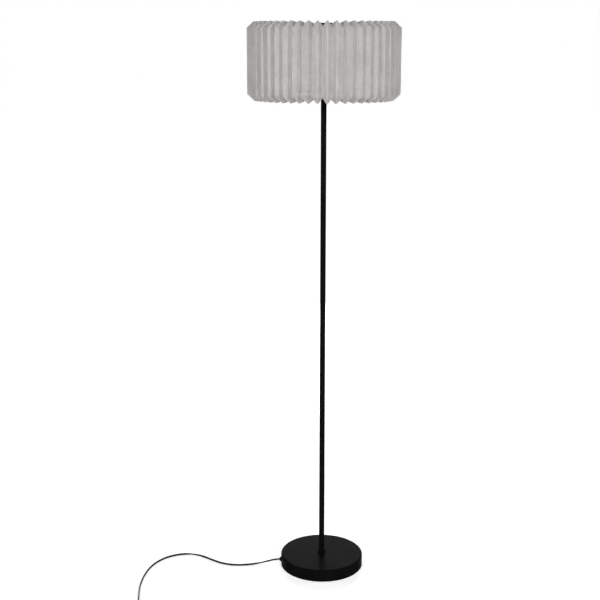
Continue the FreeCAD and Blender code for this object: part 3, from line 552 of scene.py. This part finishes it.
def cloth_point(column, row, back):
    """A point on the face of the cloth, or on its back."""
    half_pleats, height, inset = column
    rim_share, level = row
    panel = VALLEY_RADIUS + (CREST_RADIUS - VALLEY_RADIUS) * height
    panel += wobble(half_pleats, level, *PANEL_WOBBLE) - back * inset
    radius = RIM_RADIUS + (panel - RIM_RADIUS) * rim_share
    rim_rise = RIM_VALLEY_RISE + (RIM_CREST_RISE - RIM_VALLEY_RISE) * height
    bevel = rim_rise + (BEVEL_HEIGHT * height - rim_rise) * rim_share + back * rim_lift()
    edge_wave = wobble(half_pleats, EDGE_LEVEL, *EDGE_WOBBLE)
    low = SHADE_BOTTOM + bevel + edge_wave
    high = SHADE_TOP - bevel + edge_wave
    angle = PLEAT_TURN + half_pleats * PLEAT_STEP / 2 + wobble(half_pleats, level, *TURN_WOBBLE)
    upright = low + (high - low) * level
    return Vector((radius * math.sin(angle), -radius * math.cos(angle), upright))


def make_shade():
    """Folded cloth with a linen face and a film back, closed along its two edges."""
    columns = pleat_columns()
    rows = cloth_rows()
    count = len(columns)
    layer = len(rows) * count
    points = [cloth_point(column, row, back)
              for back in (0, 1) for row in rows for column in columns]
    front = loop_faces(len(rows), count)
    back = [tuple(corner + layer for corner in reversed(face)) for face in front]
    edges = []
    for index in range(count):
        after = (index + 1) % count
        lower = (index, after, after + layer, index + layer)
        edges.append(tuple(reversed(lower)))
        edges.append(tuple(corner + layer - count for corner in lower))
    mesh = new_mesh("shade_cloth", points, front + back + edges)
    cloth = add_piece("shade_cloth", mesh, "shade", "linen", "linen", "shade_fabric")
    mesh.materials.append(materials["shade_backing"])
    for face in mesh.polygons[len(front):len(front) + len(back)]:
        face.material_index = 1
    add_weave_map(mesh, columns, rows)
    return cloth


def cut_height(row, height):
    """Height on the flat cloth, from the fold of the bottom rim's valleys."""
    rim_share, level = row
    bevel = BEVEL_HEIGHT * height
    upright = SHADE_TOP - SHADE_BOTTOM - 2 * bevel
    reach = VALLEY_RADIUS + (CREST_RADIUS - VALLEY_RADIUS) * height - RIM_RADIUS
    turned_in = reach * (1 - rim_share) * (1 if level else -1)
    return bevel + upright * level + turned_in


def add_weave_map(mesh, columns, rows):
    """Maps the cloth as it was cut, in metres: along the run of the folds and up."""
    count = len(columns)
    layer = len(rows) * count
    weave = mesh.uv_layers.new(name="weave")
    for face in mesh.polygons:
        corners = [mesh.loops[loop].vertex_index % layer for loop in face.loop_indices]
        numbers = [corner % count for corner in corners]
        wraps = max(numbers) - min(numbers) > count / 2
        for loop, corner, number in zip(face.loop_indices, corners, numbers):
            half_pleats, height, _ = columns[number]
            if wraps and number < count / 2:
                half_pleats += 2 * PLEAT_COUNT
            up = cut_height(rows[corner // count], height)
            weave.data[loop].uv = (half_pleats * PANEL_LENGTH, up)


# Stitches


def stitch_loop(centre, outward):
    """Points of one loop of thread round a ring's wire."""
    across = outward.cross(UP)
    points = []
    for step in range(STITCH_STEPS):
        turn = 2 * math.pi * step / STITCH_STEPS
        reach, height = STITCH_REACH * math.cos(turn), STITCH_HEIGHT * math.sin(turn)
        away = outward * reach / STITCH_REACH ** 2 + UP * height / STITCH_HEIGHT ** 2
        away.normalize()
        for side in range(STITCH_SIDES):
            angle = 2 * math.pi * side / STITCH_SIDES
            round_thread = across * math.cos(angle) + away * math.sin(angle)
            points.append(centre + outward * reach + UP * height + round_thread * STITCH_THREAD)
    return points


def make_stitches():
    levels = (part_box("shade_bottom_ring")[0].z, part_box("shade_top_frame")[0].z)
    points = []
    faces = []
    loop = loop_faces(STITCH_STEPS, STITCH_SIDES, closed=True)
    for level in levels:
        for pleat in range(PLEAT_COUNT):
            angle = PLEAT_TURN + (pleat + 0.5) * PLEAT_STEP
            outward = Vector((math.sin(angle), -math.cos(angle), 0))
            for offset in STITCH_OFFSETS:
                centre = outward * STITCH_RADIUS + outward.cross(UP) * offset
                centre.z = level + RING_WIRE / 2
                faces += [tuple(corner + len(points) for corner in face) for face in loop]
                points += stitch_loop(centre, outward)
    mesh = new_mesh("ring_stitches", points, faces)
    add_piece("ring_stitches", mesh, "shade", "stitch_thread", "linen")


# Foot pad and coil band


def make_foot_pad():
    """Foam disc with a rounded edge, pressed flat where the foot's rim stands on it."""
    low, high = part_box("base_pad")
    radius = (high.x - low.x) / 2
    soft = PAD_ROUNDING
    cut = PAD_CORNER_SHARE * soft
    outline = [
        (PAD_HOLLOW_SHARE * radius, low.z + PAD_HOLLOW),
        (PAD_TREAD_SHARE * radius, low.z),
        (radius - soft, low.z),
        (radius - cut, low.z + cut),
        (radius, low.z + soft),
        (radius, high.z - soft),
        (radius - cut, high.z - cut),
        (radius - soft, high.z),
    ]
    points = []
    for reach, level in outline:
        for step in range(PAD_STEPS):
            angle = 2 * math.pi * step / PAD_STEPS
            points.append((reach * math.cos(angle), reach * math.sin(angle), level))
    mesh = new_mesh("foot_pad", points, capped_faces(len(outline), PAD_STEPS))
    pad = add_piece("foot_pad", mesh, "stand", "foot_foam", "foot_foam", "base_pad")


def convex_outline(spots):
    """Corners of the tightest outline round flat spots, counterclockwise."""
    def chain(order):
        corners = []
        for spot in order:
            while len(corners) > 1:
                side = corners[-1] - corners[-2]
                if side.cross(spot - corners[-2]) >= BAND_STRAIGHT:
                    break
                corners.pop()
            corners.append(spot)
        return corners[:-1]
    order = sorted(spots, key=tuple)
    return chain(order) + chain(order[::-1])


def banded_cores(line, low, high):
    """Where the cord's cores pass through the band, across and up."""
    spots = []
    for plane in (low.y, (low.y + high.y) / 2, high.y):
        for near, far in zip(line, line[1:]):
            if low.x < near.x < high.x and (near.y - plane) * (far.y - plane) < 0:
                spot = near.lerp(far, (plane - near.y) / (far.y - near.y))
                spots += [Vector((spot.x, spot.z - TWIN_CORE_OFFSET)),
                          Vector((spot.x, spot.z + TWIN_CORE_OFFSET))]
    return spots


def make_coil_band(line):
    """Flat band pulled tight round the strands of the coil."""
    low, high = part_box("cord_tie")
    middle = (low.y + high.y) / 2
    width = (high.y - low.y) / 2
    wall, soft = BAND_WALL / 2, BAND_ROUNDING
    section = [
        (-wall, width - soft), (-wall, soft - width), (soft - wall, -width), (wall - soft, -width),
        (wall, soft - width), (wall, width - soft), (wall - soft, width), (soft - wall, width),
    ]
    corners = convex_outline(banded_cores(line, low, high))
    points = []
    for index, corner in enumerate(corners):
        before = corner - corners[index - 1]
        after = corners[(index + 1) % len(corners)] - corner
        first = math.atan2(-before.x, before.y)
        turn = before.angle_signed(after)
        for step in range(BAND_CORNER_STEPS + 1):
            angle = first - turn * step / BAND_CORNER_STEPS
            away = Vector((math.cos(angle), 0, math.sin(angle)))
            spot = Vector((corner.x, middle, corner.y))
            spot += away * (TWIN_CORE_RADIUS + BAND_GAP + wall)
            points += [spot + away * thick + Vector((0, across, 0)) for thick, across in section]
    faces = loop_faces(len(points) // len(section), len(section), closed=True)
    mesh = new_mesh("coil_band", points, faces)
    return add_piece("coil_band", mesh, "stand", "band_felt", "gland_rubber", "cord_tie")


# Plug


def rounded_section(half_width, half_height, corner):
    """Outline of a rectangle with round corners."""
    outline = []
    for quarter, (side, rise) in enumerate(((1, 1), (-1, 1), (-1, -1), (1, -1))):
        for step in range(SECTION_CORNER_STEPS + 1):
            angle = math.pi / 2 * (quarter + step / SECTION_CORNER_STEPS)
            outline.append((side * (half_width - corner) + corner * math.cos(angle),
                            rise * (half_height - corner) + corner * math.sin(angle)))
    return outline


def neck_sections():
    """Slotted neck that narrows towards the cord: distance, half width and half height."""
    pitch = NECK_LENGTH / NECK_RINGS
    sections = []
    for ring in range(NECK_RINGS):
        narrower = NECK_TAPER * (1 - ring / NECK_RINGS)
        for share, sunk in NECK_PROFILE:
            less = narrower + NECK_GROOVE * sunk
            sections.append((pitch * (ring + share), NECK_SIZE[0] - less, NECK_SIZE[1] - less))
    return sections


def grip_sections():
    """Shoulder, grooved grip and rounded edge of the plug's face."""
    width, height = PLUG_SIZE
    sections = []
    for step in range(SHOULDER_STEPS + 1):
        share = step / SHOULDER_STEPS
        wide, tall = (small + (large - small) * ease(share)
                      for small, large in zip(NECK_SIZE, PLUG_SIZE))
        sections.append((NECK_LENGTH + SHOULDER_LENGTH * share, wide, tall))
    for groove in range(GRIP_COUNT):
        middle = GRIP_START + GRIP_STEP * groove
        for slopes, sunk in GRIP_PROFILE:
            sections.append((middle + slopes * GRIP_SLOPE, width, height - GRIP_DEPTH * sunk))
    for step in range(PLUG_EDGE_STEPS + 1):
        angle = math.pi / 2 * step / PLUG_EDGE_STEPS
        inset = PLUG_EDGE * (1 - math.cos(angle))
        distance = PLUG_LENGTH - PLUG_EDGE * (1 - math.sin(angle))
        sections.append((distance, width - inset, height - inset))
    return sections


def make_plug():
    """Two-blade plug with a slotted neck and grooves for the fingers."""
    foot = Vector(TAIL_POINTS[-1])
    ahead = (foot - Vector(TAIL_POINTS[-2])).normalized()
    across = UP.cross(ahead)
    sections = neck_sections() + grip_sections()
    points = []
    for distance, half_width, half_height in sections:
        corner = min(PLUG_CORNER, PLUG_CORNER_SHARE * half_height)
        outline = rounded_section(half_width, half_height, corner)
        points += [foot + ahead * distance + across * wide + UP * tall for wide, tall in outline]
    mesh = new_mesh("plug_grip", points, capped_faces(len(sections), len(outline)))
    mesh.set_sharp_from_angle(angle=SHARP_FOLD)
    return add_piece("plug_grip", mesh, "stand", "plug_plastic", "plug_plastic", "plug_body")


# Cord


def coil_points():
    """Two-layer spiral, in to the middle and out again, a half turn at a time."""
    points = []
    here = Vector(LEAD_POINTS[-1]) + Vector((0, -CORD_WIDTH, 0))
    radii = [COIL_RADIUS - index * COIL_STEP for index in range(COIL_HALF_TURNS)]
    climb = radii[-1] - COIL_STEP
    side = 1
    for turn, radius in enumerate(radii + [climb] + radii[:0:-1]):
        centre = here + Vector((side * radius, 0, 0))
        rise = COIL_RISE if turn == COIL_HALF_TURNS else 0
        for step in range(COIL_POINTS):
            share = (step + 0.5) / COIL_POINTS
            angle = math.pi * share
            lift = rise * (share - math.sin(2 * angle) / (2 * math.pi))
            reach = Vector((-side * math.cos(angle), -side * math.sin(angle), 0)) * radius
            points.append(centre + reach + UP * lift)
        here = here + Vector((2 * side * radius, 0, rise))
        side = -side
    return points


def cord_line():
    """Points along the smooth line of the whole cord."""
    route = [CORD_EXIT, *map(Vector, LEAD_POINTS), *coil_points(), *map(Vector, TAIL_POINTS)]
    curve = bpy.data.curves.new("cord_route", "CURVE")
    curve.dimensions = "3D"
    spline = curve.splines.new("NURBS")
    spline.points.add(len(route) - 1)
    for point, spot in zip(spline.points, route):
        point.co = (*spot, 1)
    spline.order_u = ROUTE_ORDER
    spline.use_endpoint_u = True
    spline.resolution_u = ROUTE_STEPS
    holder = bpy.data.objects.new("cord_route", curve)
    line = bpy.data.meshes.new_from_object(holder)
    points = [vertex.co.copy() for vertex in line.vertices]
    bpy.data.objects.remove(holder)
    bpy.data.meshes.remove(line)
    bpy.data.curves.remove(curve)
    return points


def cord_section():
    """Outline of the flat twin: two cores side by side with a groove between."""
    reach = math.pi - math.acos(TWIN_CORE_OFFSET / TWIN_CORE_RADIUS)
    outline = []
    for side, first in ((1, 0), (-1, math.pi)):
        for step in range(TWIN_STEPS):
            angle = first - reach + 2 * reach * step / TWIN_STEPS
            outline.append((side * TWIN_CORE_OFFSET + TWIN_CORE_RADIUS * math.cos(angle),
                            TWIN_CORE_RADIUS * math.sin(angle)))
    return outline


def twist_at(distance, length):
    """Turn of the flat twin at a distance from the gland, level again at the plug."""
    plug_start = (length - PLUG_TWIST_LENGTH, CORD_TWIST[-1][1])
    stations = [*CORD_TWIST, plug_start, (length, PLUG_TWIST)]
    for (start, low), (stop, high) in zip(stations, stations[1:]):
        if distance <= stop:
            share = max(distance - start, 0) / (stop - start)
            return math.radians(low + (high - low) * ease(share))
    return math.radians(PLUG_TWIST)


def make_cord():
    line = cord_line()
    lengths = [0]
    for near, far in zip(line, line[1:]):
        lengths.append(lengths[-1] + (far - near).length)
    section = cord_section()
    points = []
    for index, spot in enumerate(line):
        ahead = (line[min(index + 1, len(line) - 1)] - line[max(index - 1, 0)]).normalized()
        across = ahead.cross(UP).normalized()
        turn = Matrix.Rotation(twist_at(lengths[index], lengths[-1]), 3, ahead)
        flat = turn @ across
        thick = turn @ ahead.cross(across)
        points += [spot + flat * wide + thick * tall for wide, tall in section]
    mesh = new_mesh("mains_cord", points, capped_faces(len(line), len(section)))
    cord = add_piece("mains_cord", mesh, "stand", "cord_sheath", "cord_sheath",
                     "cord_lead", "cord_coil", "cord_tail")
    make_coil_band(line)
    make_plug()


# Studio


def add_camera():
    data = bpy.data.cameras.new("photo_camera")
    data.lens = CAMERA_LENS
    data.sensor_width = CAMERA_SENSOR
    camera = bpy.data.objects.new("photo_camera", data)
    camera.location = CAMERA_PLACE
    camera.rotation_euler = (math.pi / 2 - CAMERA_PITCH, 0, 0)
    bpy.context.scene.collection.objects.link(camera)
    bpy.context.scene.camera = camera


def seen_directly(tree):
    """1 for camera, glossy and transmission rays."""
    path = put(tree, "LightPath").outputs
    mirrored = combine(tree, "MAXIMUM", path["Is Camera Ray"], path["Is Glossy Ray"])
    return combine(tree, "MAXIMUM", mirrored, path["Is Transmission Ray"])


def add_floor():
    half = FLOOR_SIZE / 2
    corners = [(-half, -half, 0), (half, -half, 0), (half, half, 0), (-half, half, 0)]
    mesh = new_mesh("floor", corners, [(0, 1, 2, 3)])
    material, tree, shader = new_material("pale_floor")
    away = put(tree, "VectorMath", operation="LENGTH")
    fill(tree, away.inputs[0], place(tree))
    glow = spread(tree, away.outputs["Value"], FLOOR_GLOW, 1, GLOW_START, GLOW_END)
    strength = combine(tree, "MULTIPLY", seen_directly(tree), glow)
    fill(tree, shader.inputs["Base Color"], FLOOR_COLOUR)
    fill(tree, shader.inputs["Roughness"], FLOOR_ROUGHNESS)
    fill(tree, shader.inputs["Specular IOR Level"], 0)
    fill(tree, shader.inputs["Emission Color"], WHITE)
    fill(tree, shader.inputs["Emission Strength"], strength)
    mesh.materials.append(material)
    floor = bpy.data.objects.new("floor", mesh)
    bpy.context.scene.collection.objects.link(floor)


def add_world():
    world = bpy.data.worlds.new("studio")
    bpy.context.scene.world = world
    world.use_nodes = True
    tree = world.node_tree
    background = tree.nodes["Background"]
    strength = spread(tree, seen_directly(tree), WORLD_LIGHT, 1, 0, 1)
    fill(tree, background.inputs["Color"], WHITE)
    fill(tree, background.inputs["Strength"], strength)


def add_lamp(name, spot, target, size, level):
    """Square soft box. A white sheet that faces it at the target shows level."""
    reach = Vector(target) - Vector(spot)
    data = bpy.data.lights.new(name, "AREA")
    data.size = size
    data.energy = level * (math.pi * reach.length) ** 2
    lamp = bpy.data.objects.new(name, data)
    lamp.location = spot
    lamp.rotation_euler = reach.to_track_quat("-Z", "Y").to_euler()
    bpy.context.scene.collection.objects.link(lamp)


def make_studio():
    bpy.context.scene.view_settings.view_transform = "Standard"
    add_camera()
    add_floor()
    add_world()
    for lamp in LAMPS:
        add_lamp(*lamp)


make_studio()
dress_nodes()
make_cord()
make_foot_pad()
make_stitches()
shade_cloth = make_shade()
